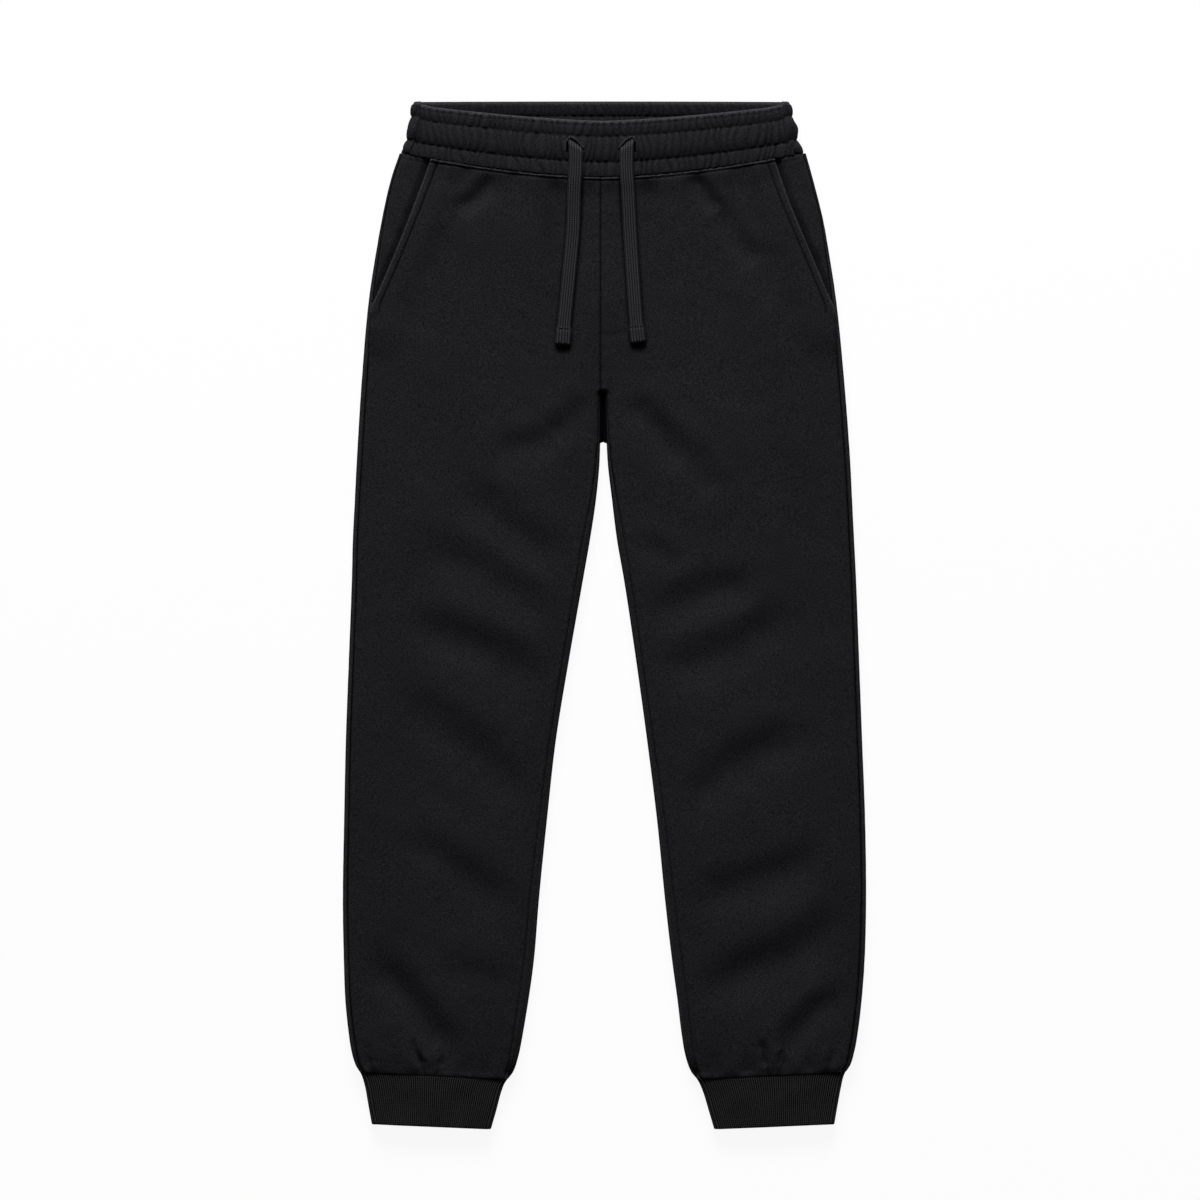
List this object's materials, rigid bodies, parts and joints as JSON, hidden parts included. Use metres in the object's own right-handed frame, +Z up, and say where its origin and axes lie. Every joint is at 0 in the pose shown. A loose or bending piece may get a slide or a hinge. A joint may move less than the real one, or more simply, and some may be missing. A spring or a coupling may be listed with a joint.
{
  "type": "jogger sweatpants",
  "caption": "Fleece jogger sweatpants laid flat, with a gathered elastic waistband, a flat drawcord, slant pockets and rib ankle cuffs.",
  "frame": {"origin": "on the surface the garment lies on, under the middle of its outline", "axes": "+Y towards the waist, +Z up out of the front, +X towards the wearer's left leg"},
  "size_m": [0.523, 1.0275, 0.0257],
  "materials": {
    "fleece": "brushed black fleece",
    "band": "black fleece gathered over elastic",
    "rib": "black rib knit",
    "cord": "dark grey woven cord"
  },
  "bodies": {
    "root": {"front_right": "fleece", "back_right": "fleece", "pocket_facing_right": "fleece", "cuff_right": "rib", "front_left": "fleece", "back_left": "fleece", "pocket_facing_left": "fleece", "cuff_left": "rib", "waistband": "band", "drawcord_right": "cord", "drawcord_left": "cord"}
  },
  "joints": []
}
